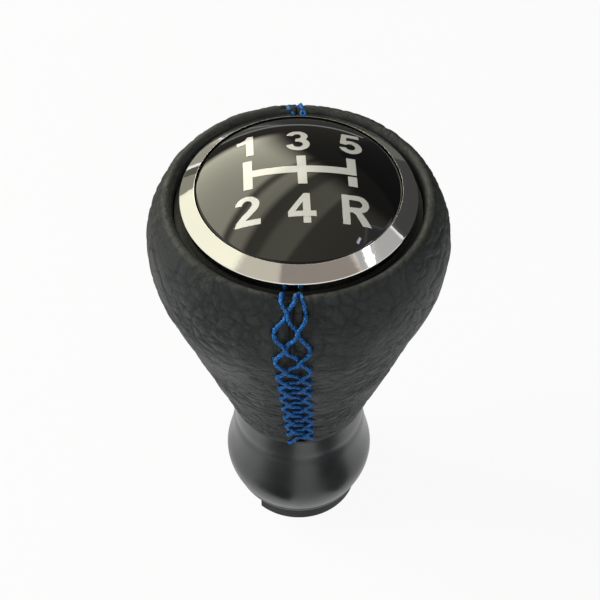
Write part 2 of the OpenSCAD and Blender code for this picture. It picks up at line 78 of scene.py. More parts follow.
# Collar
COLLAR_GAP = 0.2
COLLAR_STEP = 0.5
COLLAR_BELLY = (14.97, 11.4)
COLLAR_LIP = (13.35, 5.3)
COLLAR_Z = 4.4
COLLAR_ROOF_T = 2.4
COLLAR_VALLEY = 0.16
SKIRT_R = 11.4
SPIGOT_R = 10.4
SPIGOT_T = 1.4
SPIGOT_LEN = 4.2

# Seams, whose ditch is pressed along the panels' edges
SEAM_GAP = 0.6
DITCH_HALF = 2.0
DITCH_DEPTH = 0.7
SEAM_LEAN = math.radians(1.6)
SEAM_TURN = math.radians(-1.2)

# Stitch holes, whose rows close up towards the rim, and thread
LACE_PITCH = 5.78
LACE_START = 0.1
LACE_EDGE = 0.6
LACE_TOP_W = 6.3
LACE_LOW_W = 4.5
LACE_RIM_SHARE = 0.65
LACE_SPREAD = 8.0
HOLE_SAG = 1.7
SAG_START = 3
SAG_RUN = 7
SAG_END = 35
THREAD_D = 0.8
PLY_DEPTH = 0.14

# Shift pattern on the badge
LINE_W = 1.55
GATE_PITCH = 9.1
GATE_COLUMNS = (-8.8, 0.35, 8.85)
GATE_H = 6.7
REVERSE_GAP = 0.4
NUMERAL_H = 6.15
PATTERN_TURN = math.radians(2.7)
PATTERN_MIDDLE = (0.2, -0.25)
PRINT_LIFT = 0.045
# Each numeral's column, height on the badge and share of its full height
NUMERALS = {
    "1": (-1, 7.9, 1.0), "3": (0, 7.9, 1.0), "5": (1, 7.9, 1.0),
    "2": (-1, -7.55, 0.9), "4": (0, -8.1, 0.9), "R": (1, -8.0, 0.9),
}

# The grip's outline as arcs: rim, crown and belly, and then a straight taper
MOUTH_R = HEAD_R - SHOULDER_W
CROWN_C = HEAD_R - CROWN_R
BELLY_C = HEAD_R - BELLY_R
RIM_C = MOUTH_R + RIM_R
RIM_A = math.acos((RIM_C - CROWN_C) / (CROWN_R - RIM_R))
RIM_Z = HEAD_Z + (CROWN_R - RIM_R) * math.sin(RIM_A)
TAPER_RUN = (NECK_R - BELLY_C, HEAD_Z - NECK_Z)
TAPER_A = math.atan2(TAPER_RUN[1], TAPER_RUN[0]) - math.acos(BELLY_R / math.hypot(*TAPER_RUN))
TAPER_TOP = (BELLY_C + BELLY_R * math.cos(TAPER_A), HEAD_Z - BELLY_R * math.sin(TAPER_A))

# Lengths along the outline, counted down from the top of the rim
MOUTH_LEN = RIM_R * math.pi / 2
RIM_LEN = RIM_R * (math.pi / 2 - RIM_A)
CROWN_LEN = RIM_LEN + CROWN_R * RIM_A
BELLY_LEN = CROWN_LEN + BELLY_R * TAPER_A
SEAM_LEN = BELLY_LEN + (TAPER_TOP[1] - NECK_Z) / math.cos(TAPER_A)
LEAN_Z = (RIM_Z + NECK_Z) / 2

# Places of the bezel, the badge and the collar
BEZEL_R = MOUTH_R - GROOVE_W
BADGE_R = BEZEL_R - BEZEL_W
BEZEL_IN_R = BADGE_R + BADGE_CLEAR
BEZEL_FOOT_Z = RIM_Z - TUCK - MOUTH_CLEAR + FLANGE_T + SNAP_CLEAR
BEZEL_Z = BEZEL_FOOT_Z + BEZEL_H
BEZEL_TOP_Z = BEZEL_Z + BEZEL_RISE
BADGE_EDGE_Z = BEZEL_TOP_Z - BADGE_SUNK
BADGE_Z = BADGE_EDGE_Z - BADGE_EDGE
DOME_C = BADGE_EDGE_Z - math.sqrt(DOME_R ** 2 - BADGE_R ** 2)
COLLAR_TOP = (NECK_R - COLLAR_STEP, NECK_Z - COLLAR_GAP)


def within(value, low=0.0, high=1.0):
    """A value kept between two ends."""
    return min(high, max(low, value))


def bell(distance, width):
    """A smooth bump: 1 at no distance, and almost 0 at twice its width."""
    return np.exp(-(distance / width) ** 2)


def outline_at(s):
    """Radius, height and facing angle at lengths s, counted down from the top of the rim."""
    s = np.asarray(s, float)
    zones = [s < -MOUTH_LEN, s < RIM_LEN, s < CROWN_LEN, s < BELLY_LEN]
    facing = np.select(
        zones,
        [np.pi, np.pi / 2 - s / RIM_R, (CROWN_LEN - s) / CROWN_R, -(s - CROWN_LEN) / BELLY_R],
        -TAPER_A,
    )
    cos, sin = np.cos(facing), np.sin(facing)
    down = s - BELLY_LEN
    radius = np.select(
        zones,
        [MOUTH_R, RIM_C + RIM_R * cos, CROWN_C + CROWN_R * cos, BELLY_C + BELLY_R * cos],
        TAPER_TOP[0] - down * math.sin(TAPER_A),
    )
    height = np.select(
        zones,
        [RIM_Z + MOUTH_LEN + s, RIM_Z + RIM_R * sin, HEAD_Z + CROWN_R * sin, HEAD_Z + BELLY_R * sin],
        TAPER_TOP[1] - down * math.cos(TAPER_A),
    )
    return radius, height, facing


def seam_middle(height):
    """Sideways place of a seam's middle at a height, because both seams lean."""
    return (LEAN_Z - height) * math.tan(SEAM_LEAN)


def turned(x, y):
    """A place turned round the knob's axis by as much as both seams are."""
    cos, sin = math.cos(SEAM_TURN), math.sin(SEAM_TURN)
    return x * cos - y * sin, x * sin + y * cos


def lace_half(s):
    """Half the width between the two rows of stitch holes."""
    closing = np.minimum(1, LACE_RIM_SHARE + (1 - LACE_RIM_SHARE) * s / LACE_SPREAD)
    return closing * (LACE_TOP_W + (LACE_LOW_W - LACE_TOP_W) * np.maximum(s, 0) / SEAM_LEN) / 2


def hole_lengths(side):
    """Lengths of one side's stitch holes. The right ones lie half a pitch lower, one of them in the mouth."""
    first, shift = (-1, 0.5) if side > 0 else (0, 0.0)
    last = math.ceil(SEAM_LEN / LACE_PITCH) + 1
    lengths = [LACE_START + (i + shift) * LACE_PITCH for i in range(first, last)]
    # The hand-punched holes sit a little lower on the head than an even spacing puts them
    return [s + HOLE_SAG * within((s - SAG_START) / SAG_RUN) * min(1, (SEAM_LEN - s) / SAG_END)
            for s in lengths if s < SEAM_LEN - LACE_EDGE]


def placed(name, data):
    """A new object in the scene."""
    made = bpy.data.objects.new(name, data)
    bpy.context.scene.collection.objects.link(made)
    return made


def make_object(name, vertices, faces, smooth=True):
    """A mesh object from points in millimetres."""
    mesh = bpy.data.meshes.new(name)
    mesh.from_pydata([tuple(float(c) * MM for c in v) for v in vertices], [], faces)
    mesh.polygons.foreach_set("use_smooth", [smooth] * len(mesh.polygons))
    mesh.update()
    return placed(name, mesh)


def outward(made):
    """Merges doubles and turns all faces outwards."""
    work = bmesh.new()
    work.from_mesh(made.data)
    bmesh.ops.remove_doubles(work, verts=work.verts, dist=1e-8)
    bmesh.ops.recalc_face_normals(work, faces=work.faces)
    work.to_mesh(made.data)
    work.free()
    return made


def rounded(points, radii, steps=5, support=0.03):
    """A closed outline with its corners rounded, and a support point beside each rounding."""
    made = []
    for i, corner in enumerate(points):
        here = np.array(corner, float)
        before = np.array(points[i - 1], float) - here
        after = np.array(points[(i + 1) % len(points)], float) - here
        u, v = before / np.linalg.norm(before), after / np.linalg.norm(after)
        half = math.acos(within(float(u @ v), -1)) / 2
        run = radii[i] / math.tan(half)
        middle = here + (u + v) / np.linalg.norm(u + v) * radii[i] / math.sin(half)
        start, end = here + u * run, here + v * run
        made.append(tuple(start + u * support))
        sweep = math.pi - 2 * half
        for k in range(steps + 1):
            t = k / steps
            spoke = (start - middle) * math.sin((1 - t) * sweep) + (end - middle) * math.sin(t * sweep)
            made.append(tuple(middle + spoke / math.sin(sweep)))
        made.append(tuple(end + v * support))
    return made


def lathe(name, points, steps=256, closed=True):
    """Turns an outline of (radius, height) round the knob's axis; radius 0 becomes a pole."""
    vertices, rings = [], []
    for radius, height in points:
        if radius < 1e-6:
            rings.append([len(vertices)] * steps)
            vertices.append((0, 0, height))
            continue
        rings.append(list(range(len(vertices), len(vertices) + steps)))
        for k in range(steps):
            a = 2 * math.pi * k / steps
            vertices.append((radius * math.cos(a), radius * math.sin(a), height))
    faces = []
    pairs = list(zip(rings, rings[1:])) + ([(rings[-1], rings[0])] if closed else [])
    for low, high in pairs:
        for k in range(steps):
            j = (k + 1) % steps
            # A pole's corners are one point, so each is taken once
            faces.append(list(dict.fromkeys([low[k], low[j], high[j], high[k]])))
    return outward(make_object(name, vertices, faces))


def give(tree, node, inputs):
    """Gives a node's inputs values, or links where another node's output is given."""
    for key, value in inputs.items():
        if isinstance(value, bpy.types.NodeSocket):
            tree.links.new(value, node.inputs[key])
        else:
            node.inputs[key].default_value = value


def add(tree, kind, inputs=None, **settings):
    """Adds a node with its settings and inputs."""
    made = tree.nodes.new(kind)
    for key, value in settings.items():
        setattr(made, key, value)
    give(tree, made, inputs or {})
    return made


def calc(tree, operation, a, b=None, clamp=False):
    """A Math node's output."""
    inputs = {0: a} if b is None else {0: a, 1: b}
    return add(tree, "ShaderNodeMath", inputs, operation=operation, use_clamp=clamp).outputs[0]


def spread(tree, value, low, high, to_low=0.0, to_high=1.0):
    """A value mapped smoothly from one range to another."""
    made = add(tree, "ShaderNodeMapRange",
               {"Value": value, "From Min": low, "From Max": high, "To Min": to_low, "To Max": to_high},
               interpolation_type="SMOOTHSTEP")
    return made.outputs["Result"]


# Leather relief: rates are per millimetre, and depths press the surface in.
# The seed keeps the drift of the grain the same in every run.
GRAIN_SEED = 1
DRIFT_RATE = 0.17
PEBBLE_RATE = 0.4
PEBBLE_DEPTH = 0.2
PEBBLE_EDGE_W = 0.27
PATCH_RATE = 0.075
CREASE_RATE = 0.33
CREASE_DEPTH = 0.13
GATHER_RATE = 0.09
GATHER_COUNT = 5.5
GATHER_Z = 64
GATHER_RUN = 8
GATHER_DEPTH = 0.17
SWELL_RATE = 0.21
SWELL = 0.2

# Puckers: the pit at a stitch hole, the hollow round it and the small folds beside it
PIT_DEPTH = 0.5
PIT_W = 0.42
HOLLOW_DEPTH = 0.16
HOLLOW_H = 1.1
HOLLOW_W = 1.2
FOLD_DEPTH = 0.09
FOLDS = 2
PUCKER_REACH = 12

# The joint opens into a V over the front rim and closes over the rear one, from this length upwards
FRONT_V = 0.75
REAR_V = -0.5
V_START = 1.6
V_RUN = 3.4
LEAST_HALF = 0.03
# The tight lacing pulls the rim down where the panels meet in front
RIM_DIP = 0.5
RIM_DIP_W = 2.4
RIM_DIP_H = 1.8

# A panel's grid. Beside the joint each column has its distance from the panel's cut edge and its drop,
# and the rolled lower edge has its rows' heights above the seam's end and their drops.
SEAM_COLUMNS = [(0.0, LEATHER_T), (0.0, 0.5), (0.01, 0.26), (0.05, 0.14), (0.12, 0.06), (0.22, 0.015)]
EDGE_ROWS = [(0.3, 0.0), (0.12, 0.04), (0.03, 0.14), (0.0, 0.3), (0.0, LEATHER_T)]
FINE_WIDTH = 6.5
FINE_COLUMNS = 34
WIDE_COLUMNS = 210
TUCK_ROWS = 8
RIM_ROWS = 14
ROW_STEP = 0.26


def seam_gap_half(s, opening):
    """Half the joint's width, with its V where the leather turns over the rim."""
    return np.maximum(LEAST_HALF, SEAM_GAP / 2 + opening * np.clip((V_START - s) / V_RUN, 0, 1))


def ridge(value, steepness):
    """1 where a noise passes through 0, and less to both sides."""
    return max(0.0, 1 - abs(value) * steepness) ** 2


def grain_at(x, y, z):
    """The leather's own relief at a point, and from 0 to 1 how far into a crease the point lies, by which the
    leather's colour gets painted shade.
    """
    place = Vector((x, y, z))
    drift = noise.noise_vector(place * DRIFT_RATE)
    near, far = noise.voronoi(place * PEBBLE_RATE + drift * 0.55)[0][:2]
    valley = math.exp(-((far - near) / PEBBLE_EDGE_W) ** 1.6)
    patch = within(0.62 + 1.3 * noise.noise(place * PATCH_RATE), 0.15)
    bent = Vector((place.x, place.y, place.z * 1.35)) * CREASE_RATE + drift * 0.9
    crease = ridge(noise.noise(bent), 7)
    # Gathers run over the shoulder towards the mouth
    turn = math.atan2(y, x)
    around = Vector((math.cos(turn) * GATHER_COUNT, math.sin(turn) * GATHER_COUNT, z * GATHER_RATE))
    gather = ridge(noise.noise(around + drift * 0.35), 6)
    gather = gather * within((z - GATHER_Z) / GATHER_RUN) * (1.2 - patch)
    depth = PEBBLE_DEPTH * valley * patch + CREASE_DEPTH * crease + GATHER_DEPTH * gather
    hollow = within(valley * patch + 0.5 * crease + 0.5 * gather)
    return depth - SWELL * noise.noise(place * SWELL_RATE), hollow


def pucker(s, q, side, rng):
    """How far the thread pulls the leather in round one side's holes, at lengths s and widths q."""
    pull = np.zeros_like(s)
    for hole in hole_lengths(side):
        across, along = q - lace_half(hole), s - hole
        pull += PIT_DEPTH * bell(along, PIT_W) * bell(across, PIT_W)
        pull += HOLLOW_DEPTH * bell(along, HOLLOW_H) * bell(across, HOLLOW_W)
        for _ in range(FOLDS):
            slope, reach = rng.uniform(-0.35, 0.35), rng.uniform(2.5, 5.5)
            width, start = rng.uniform(0.3, 0.5), rng.uniform(-0.5, 0.5)
            line = along - start - slope * across - 0.25 * np.sin(across * 1.3 + start * 9)
            run = np.where(across > 0, bell(across, reach), bell(across, 0.8))
            pull += FOLD_DEPTH * bell(line, width) * run
    return pull


def panel_rows():
    """Lengths of a panel's rows, from inside the mouth to the lower edge, and each row's drop."""
    lengths = np.concatenate([
        np.linspace(-MOUTH_LEN - TUCK, -MOUTH_LEN, TUCK_ROWS)[:-1],
        np.linspace(-MOUTH_LEN, RIM_LEN, RIM_ROWS)[:-1],
        np.arange(RIM_LEN, SEAM_LEN - EDGE_ROWS[0][0], ROW_STEP),
        [SEAM_LEN - above for above, _ in EDGE_ROWS],
    ])
    drops = np.zeros(len(lengths))
    drops[-len(EDGE_ROWS):] = [drop for _, drop in EDGE_ROWS]
    return lengths, drops


def panel_columns(s_rows, radius, middle):
    """Angles of a panel's columns in each row, from the front seam to the rear one, and their drops."""
    fine = list(np.linspace(SEAM_COLUMNS[-1][0], FINE_WIDTH, FINE_COLUMNS)[1:])
    near = np.array([place for place, _ in SEAM_COLUMNS] + fine)
    near_drop = np.array([drop for _, drop in SEAM_COLUMNS] + [0.0] * len(fine))
    front, rear = (
        np.arcsin((middle + seam_gap_half(s_rows, opening)) / radius)[:, None] + near / radius[:, None]
        for opening in (FRONT_V, REAR_V)
    )
    share = np.linspace(0, 1, WIDE_COLUMNS + 2)[1:-1]
    wide = front[:, -1:] + (np.pi - rear[:, -1:] - front[:, -1:]) * share
    angles = np.concatenate([front, wide, np.pi - rear[:, ::-1]], axis=1)
    return angles, np.concatenate([near_drop, np.zeros(len(share)), near_drop[::-1]])


def seam_dip(angle, s, q, side, rng):
    """How deep the ditch, the dip in the rim and the puckers press a panel in, at widths q from the seam."""
    fore = angle < np.pi / 2
    near_rim = np.where(fore, 1.0, np.clip(0.3 + s / 4, 0.3, 1))
    dip = DITCH_DEPTH * near_rim * np.maximum(0, 1 - q / DITCH_HALF) ** 1.4
    dip = dip + np.where(fore, RIM_DIP * bell(q, RIM_DIP_W) * bell(s + 0.6, RIM_DIP_H), 0)
    return dip + np.where(q < PUCKER_REACH, pucker(s, q, side, rng), 0)


def leather_panel(name, side, seed):
    """One leather panel as a grid, with its relief pressed in square to the grip's outline."""
    s_rows, row_drop = panel_rows()
    radius, height, facing = outline_at(s_rows)
    middle = side * seam_middle(height)
    angle, column_drop = panel_columns(s_rows, radius, middle)
    drop = np.minimum(column_drop + row_drop[:, None], LEATHER_T)

    r, z, facing = radius[:, None], height[:, None], facing[:, None]
    s = np.broadcast_to(s_rows[:, None], angle.shape)
    sideways = r * np.sin(angle)
    q = np.abs(sideways - middle[:, None])
    places = np.stack([side * sideways, -r * np.cos(angle), z + 0 * angle], axis=-1).reshape(-1, 3)
    grain = np.array([grain_at(*place) for place in places.tolist()])
    # The relief stays under the solid's surface and fades out over the rim
    relief = np.clip(grain[:, 0].reshape(angle.shape) + SWELL * 0.35, 0, 1)
    relief = relief * np.clip((s + 1.2) / 3.0, 0.1, 1)
    dip = seam_dip(angle, s, q, side, np.random.default_rng(seed))
    dip = np.where(drop > 0.9 * LEATHER_T, drop, drop + dip + relief)
    inner_r = r - dip * np.cos(facing)
    x, y = turned(side * inner_r * np.sin(angle), -inner_r * np.cos(angle))
    vertices = np.stack([x, y, z - dip * np.sin(facing)], axis=-1)

    index = np.arange(angle.size).reshape(angle.shape)
    a0, a1, b1, b0 = index[:-1, :-1], index[:-1, 1:], index[1:, 1:], index[1:, :-1]
    order = [a0, b0, b1, a1] if side > 0 else [a0, a1, b1, b0]
    faces = np.stack([corner.ravel() for corner in order], axis=-1).tolist()
    made = make_object(name, vertices.reshape(-1, 3), faces)
    # The hollow attribute holds how far into a crease each point lies, for the painted shade in the leather's
    # colour.
    made.data.attributes.new("hollow", "FLOAT", "POINT").data.foreach_set("value", grain[:, 1])
    return made


# Lacing: each strand has this many steps, ends a little inside its holes and dives through the leather
STRAND_STEPS = 44
HOLE_INSET = 0.36
DIVE = (-0.8, -0.4)
THREAD_LIFT = THREAD_D / 2
# A strand climbs over one strand and goes under the next, and both run side by side where they cross
CROSSING_LIFT = 0.36
CROSSING_W = 0.12
CROSSING_HUG = 0.62
# Depth in the mouth from which thread comes up over the rim, and where its holes lie there
MOUTH_S = -3.2
RIM_ACROSS = 0.78
# How far strands sink into the leather at the rim and over the lower part
RIM_SINK = 0.55
REAR_SINK = 0.85
LOW_SINK = 0.18
# The lower part begins at this length and the change takes this run
LOW_START = 10
LOW_RUN = 14
# Share by which the pull thins the lower strands, with its own start and run
THINNING = 0.16
THIN_START = 8
THIN_RUN = 16


def over_seam(across, s, lift):
    """A point over the front seam: across is -1 at the left row of holes and 1 at the right."""
    radius, height, facing = (float(v) for v in outline_at(s))
    x = seam_middle(height) + across * float(lace_half(s))
    r = radius + lift * math.cos(facing)
    return (x, -math.sqrt(r * r - x * x), height + lift * math.sin(facing))


def ditch_at(across, s):
    """Depth of the ditch under a strand, part of which a taut strand spans."""
    q = abs(across) * float(lace_half(s))
    return DITCH_DEPTH * max(0.0, 1 - q / DITCH_HALF) ** 1.4 * 0.3 * within(s / 4)


def strand_points(side, s0, side2, s1, rng, sink):
    """A strand runs from a hole to one further down the other side, over a strand and then under one."""
    start, end = s0 + HOLE_INSET, s1 - HOLE_INSET
    low = within((s0 - LOW_START) / LOW_RUN)
    hug = CROSSING_HUG * (1 - 0.8 * low)
    sway = rng.uniform(-0.12, 0.12)
    points = [over_seam(side, start, lift) for lift in DIVE]
    for k in range(STRAND_STEPS + 1):
        t = k / STRAND_STEPS
        u = 0.02 + 0.96 * (t - hug * math.sin(6 * math.pi * t) / (6 * math.pi))
        rise = bell(t - 1 / 3, CROSSING_W) - 0.75 * bell(t - 2 / 3, CROSSING_W)
        if side * side2 > 0:
            rise = -0.2
        across = side + (side2 - side) * u
        s = start + (end - start) * (0.02 + 0.96 * t) + sway * math.sin(math.pi * t)
        sunk = ditch_at(across, s) + sink * bell(s - 0.4, 3.0) + LOW_SINK * low
        points.append(over_seam(across, s, THREAD_LIFT + CROSSING_LIFT * rise - sunk))
    return points + [over_seam(side2, end, lift) for lift in reversed(DIVE)]


def strand_runs(rear):
    """Each strand's first side and length, and its last side and length; the rim's two strands come last."""
    left, right = hole_lengths(-1), hole_lengths(1)
    runs = [(1, right[i], -1, left[i + 1]) for i in range(len(left) - 1)]
    runs += [(-1 if i else -RIM_ACROSS, left[i], 1, right[i + 2]) for i in range(len(right) - 2)]
    if rear:
        return runs + [(0.0, MOUTH_S, -RIM_ACROSS, left[0]), (0.2, MOUTH_S, 1, right[1])]
    return runs + [(-RIM_ACROSS, MOUTH_S, -RIM_ACROSS, left[0]), (0.8, right[0], 1, right[1])]


def lacing_curve(name, rear, seed):
    """A curve object with one run of points for each strand of a seam."""
    rng = np.random.default_rng(seed)
    curve = bpy.data.curves.new(name, "CURVE")
    curve.dimensions = "3D"
    for side, s0, side2, s1 in strand_runs(rear):
        points = strand_points(side, s0, side2, s1, rng, REAR_SINK if rear else RIM_SINK)
        spline = curve.splines.new("POLY")
        spline.points.add(len(points) - 1)
        for point, (x, y, z) in zip(spline.points, points):
            x, y = turned(x, -y if rear else y)
            point.co = (x * MM, y * MM, z * MM, 1)
            point.radius = 1 - THINNING * within((s0 - THIN_START) / THIN_RUN)
    return placed(name, curve)


def thread_tree():
    """Geometry Nodes: plied thread twisted along every run of a curve, with its sizes in metres."""
    tree = bpy.data.node_groups.new("plied thread", "GeometryNodeTree")
    face = tree.interface
    face.new_socket("Runs", in_out="INPUT", socket_type="NodeSocketGeometry")
    for label, value in (("Radius", 0.0004), ("Ply Depth", PLY_DEPTH), ("Plies", 3.0),
                         ("Twist Length", 0.0026), ("Step", 0.00024)):
        socket = face.new_socket(label, in_out="INPUT", socket_type="NodeSocketFloat")
        socket.default_value = value
    face.new_socket("Thread", in_out="INPUT", socket_type="NodeSocketMaterial")
    face.new_socket("Mesh", in_out="OUTPUT", socket_type="NodeSocketGeometry")
    given = tree.nodes.new("NodeGroupInput").outputs

    resample = add(tree, "GeometryNodeResampleCurve", {"Curve": given["Runs"], "Length": given["Step"]},
                   mode="LENGTH")
    along = add(tree, "GeometryNodeSplineParameter")
    turns = calc(tree, "DIVIDE", along.outputs["Length"], given["Twist Length"])
    tilt = calc(tree, "MULTIPLY", turns, 2 * math.pi)
    twisted = add(tree, "GeometryNodeSetCurveTilt", {"Curve": resample.outputs[0], "Tilt": tilt})

    # The section is a circle that swells once for each ply
    circle = add(tree, "GeometryNodeCurvePrimitiveCircle", {"Resolution": 12, "Radius": given["Radius"]})
    place = add(tree, "GeometryNodeInputPosition").outputs[0]
    split = add(tree, "ShaderNodeSeparateXYZ", {"Vector": place})
    angle = calc(tree, "ARCTAN2", split.outputs["Y"], split.outputs["X"])
    lobes = calc(tree, "COSINE", calc(tree, "MULTIPLY", angle, given["Plies"]))
    swell = calc(tree, "ADD", calc(tree, "MULTIPLY", lobes, given["Ply Depth"]), 1.0)
    scaled = add(tree, "ShaderNodeVectorMath", {0: place, "Scale": swell}, operation="SCALE")
    section = add(tree, "GeometryNodeSetPosition", {"Geometry": circle.outputs["Curve"],
                                                   "Position": scaled.outputs[0]})

    swept = add(tree, "GeometryNodeCurveToMesh", {"Curve": twisted.outputs[0],
                                                  "Profile Curve": section.outputs[0], "Fill Caps": True})
    smooth = add(tree, "GeometryNodeSetShadeSmooth", {0: swept.outputs[0]})
    real = add(tree, "GeometryNodeRealizeInstances", {0: smooth.outputs[0]})
    dyed = add(tree, "GeometryNodeSetMaterial", {"Geometry": real.outputs[0], "Material": given["Thread"]})
    out = tree.nodes.new("NodeGroupOutput")
    tree.links.new(dyed.outputs[0], out.inputs[0])
    return tree


def grown(source, tree, values, name):
    """Runs a node tree on an object once and keeps the result as a plain mesh piece."""
    modifier = source.modifiers.new("grow", "NODES")
    modifier.node_group = tree
    for item in tree.interface.items_tree:
        if item.item_type == "SOCKET" and item.in_out == "INPUT" and item.name in values:
            modifier[item.identifier] = values[item.name]
    graph = bpy.context.evaluated_depsgraph_get()
    graph.update()
    mesh = bpy.data.meshes.new_from_object(source.evaluated_get(graph), depsgraph=graph)
    mesh.name = name
    source.modifiers.remove(modifier)
    bpy.data.objects.remove(source)
    return outward(placed(name, mesh))


def blend_colour(tree, factor, first, second):
    """A colour between two colours."""
    made = add(tree, "ShaderNodeMix", data_type="RGBA")
    ends = [end if isinstance(end, bpy.types.NodeSocket) else (*end, 1) for end in (first, second)]
    give(tree, made, {0: factor, 6: ends[0], 7: ends[1]})
    return made.outputs[2]


def new_group(name, inputs, outputs):
    """An empty shader node group with named sockets, and its input sockets."""
    tree = bpy.data.node_groups.new(name, "ShaderNodeTree")
    kinds = {"float": "NodeSocketFloat", "vector": "NodeSocketVector"}
    for label, kind, value in inputs:
        socket = tree.interface.new_socket(label, in_out="INPUT", socket_type=kinds[kind])
        if value is not None:
            socket.default_value = value
    for label in outputs:
        tree.interface.new_socket(label, in_out="OUTPUT", socket_type=kinds["float"])
    return tree, tree.nodes.new("NodeGroupInput").outputs


def close_group(tree, results):
    """Links a group's results to its output sockets."""
    give(tree, tree.nodes.new("NodeGroupOutput"), results)
    return tree


def place_group(tree, group, inputs):
    """Places a shared group in a material."""
    made = add(tree, "ShaderNodeGroup", node_tree=group)
    give(tree, made, inputs)
    return made.outputs


def pebble_group():
    """Leather grain: small rounded pebbles that fade in and out, over the mesh's own relief. Its Valley
    output is where the leather's colour gets painted shade.
    """
    tree, given = new_group(
        "leather pebbles",
        [("Place", "vector", None), ("Pebble Scale", "float", 900.0), ("Drift", "float", 0.0012)],
        ["Height", "Valley"],
    )
    drift = add(tree, "ShaderNodeTexNoise", {"Vector": given["Place"], "Scale": 330.0, "Detail": 2.0})
    centred = add(tree, "ShaderNodeVectorMath", {0: drift.outputs["Color"], 1: (0.5, 0.5, 0.5)},
                  operation="SUBTRACT")
    pushed = add(tree, "ShaderNodeVectorMath", {0: centred.outputs[0], "Scale": given["Drift"]},
                 operation="SCALE")
    moved = add(tree, "ShaderNodeVectorMath", {0: given["Place"], 1: pushed.outputs[0]}, operation="ADD")
    cells = add(tree, "ShaderNodeTexVoronoi", {"Vector": moved.outputs[0], "Scale": given["Pebble Scale"]},
                feature="DISTANCE_TO_EDGE")
    fine_scale = calc(tree, "MULTIPLY", given["Pebble Scale"], 2.4)
    fine = add(tree, "ShaderNodeTexVoronoi", {"Vector": moved.outputs[0], "Scale": fine_scale},
               feature="DISTANCE_TO_EDGE")
    pebble = calc(tree, "POWER", calc(tree, "MULTIPLY", cells.outputs["Distance"], 2.2, clamp=True), 0.6)
    small = calc(tree, "POWER", calc(tree, "MULTIPLY", fine.outputs["Distance"], 2.2, clamp=True), 0.7)
    patch = add(tree, "ShaderNodeTexNoise", {"Vector": given["Place"], "Scale": 120.0, "Detail": 3.0})
    share = spread(tree, patch.outputs["Fac"], 0.34, 0.66, 0.15, 0.75)
    height = calc(tree, "ADD", calc(tree, "MULTIPLY", pebble, share), calc(tree, "MULTIPLY", small, 0.3))
    # Valley is 1 in a pebble's valley; the leather's material darkens its colour there as painted shade.
    valley = calc(tree, "MULTIPLY", spread(tree, cells.outputs["Distance"], 0.0, 0.1, 1.0, 0.0), share)
    return close_group(tree, {"Height": height, "Valley": valley})


def marks_group():
    """Soft patches and fine specks that vary a finish."""
    tree, given = new_group(
        "handling marks",
        [("Place", "vector", None), ("Patch Scale", "float", 90.0), ("Speck Scale", "float", 2600.0)],
        ["Patches", "Specks"],
    )
    patches = add(tree, "ShaderNodeTexNoise",
                  {"Vector": given["Place"], "Scale": given["Patch Scale"], "Detail": 5.0})
    specks = add(tree, "ShaderNodeTexNoise",
                 {"Vector": given["Place"], "Scale": given["Speck Scale"], "Detail": 2.0})
    return close_group(tree, {
        "Patches": spread(tree, patches.outputs["Fac"], 0.35, 0.65),
        "Specks": spread(tree, specks.outputs["Fac"], 0.35, 0.7),
    })


PEBBLES = pebble_group()
MARKS = marks_group()


def new_material(name):
    """A material with its shader and Object coordinates."""
    material = bpy.data.materials.new(name)
    material.use_nodes = True
    tree = material.node_tree
    place = add(tree, "ShaderNodeTexCoord").outputs["Object"]
    return material, tree, tree.nodes["Principled BSDF"], place


def bumped(tree, height, distance):
    """The normal of a surface whose texture is this high, in metres."""
    return add(tree, "ShaderNodeBump", {"Height": height, "Distance": distance, "Strength": 1.0}).outputs[0]


def plain_finish(name, light, dark, rough, bump=0.00001, specks=2600.0, **shader_values):
    """Plastic, foam or metal: a mottled colour, a varied roughness and a fine texture."""
    material, tree, shader, place = new_material(name)
    marks = place_group(tree, MARKS, {"Place": place, "Speck Scale": specks})
    give(tree, shader, {
        "Base Color": blend_colour(tree, marks["Patches"], dark, light),
        "Roughness": spread(tree, marks["Patches"], 0.0, 1.0, *rough),
        "Normal": bumped(tree, marks["Specks"], bump),
    })
    give(tree, shader, {key.replace("_", " "): value for key, value in shader_values.items()})
    return material


def leather_finish():
    """Near-black pebbled leather, duller in its valleys and creases, where painted shade darkens its colour.
    """
    material, tree, shader, place = new_material("pebbled leather")
    grain = place_group(tree, PEBBLES, {"Place": place})
    marks = place_group(tree, MARKS, {"Place": place, "Patch Scale": 60.0, "Speck Scale": 5200.0})
    worn = blend_colour(tree, marks["Patches"], (0.019, 0.0215, 0.0215), (0.028, 0.031, 0.030))
    own = add(tree, "ShaderNodeAttribute", attribute_name="hollow").outputs["Fac"]
    # How far a point lies in a valley or crease: it darkens the colour as painted shade and makes the finish
    # duller.
    valley_shade_and_dullness = calc(tree, "ADD", calc(tree, "MULTIPLY", grain["Valley"], 0.5), calc(tree, "MULTIPLY", own, 0.55),
                clamp=True)
    rough = calc(tree, "ADD", spread(tree, marks["Patches"], 0.0, 1.0, 0.44, 0.52),
                 calc(tree, "MULTIPLY", valley_shade_and_dullness, 0.25))
    height = calc(tree, "ADD", grain["Height"], calc(tree, "MULTIPLY", marks["Specks"], 0.06))
    give(tree, shader, {
        # The colour runs to near black in the valleys and creases: painted shade.
        "Base Color": blend_colour(tree, valley_shade_and_dullness, worn, (0.005, 0.006, 0.0065)),
        "Roughness": rough,
        "Normal": bumped(tree, height, 0.00009),
        "Specular IOR Level": 0.25,
    })
    return material


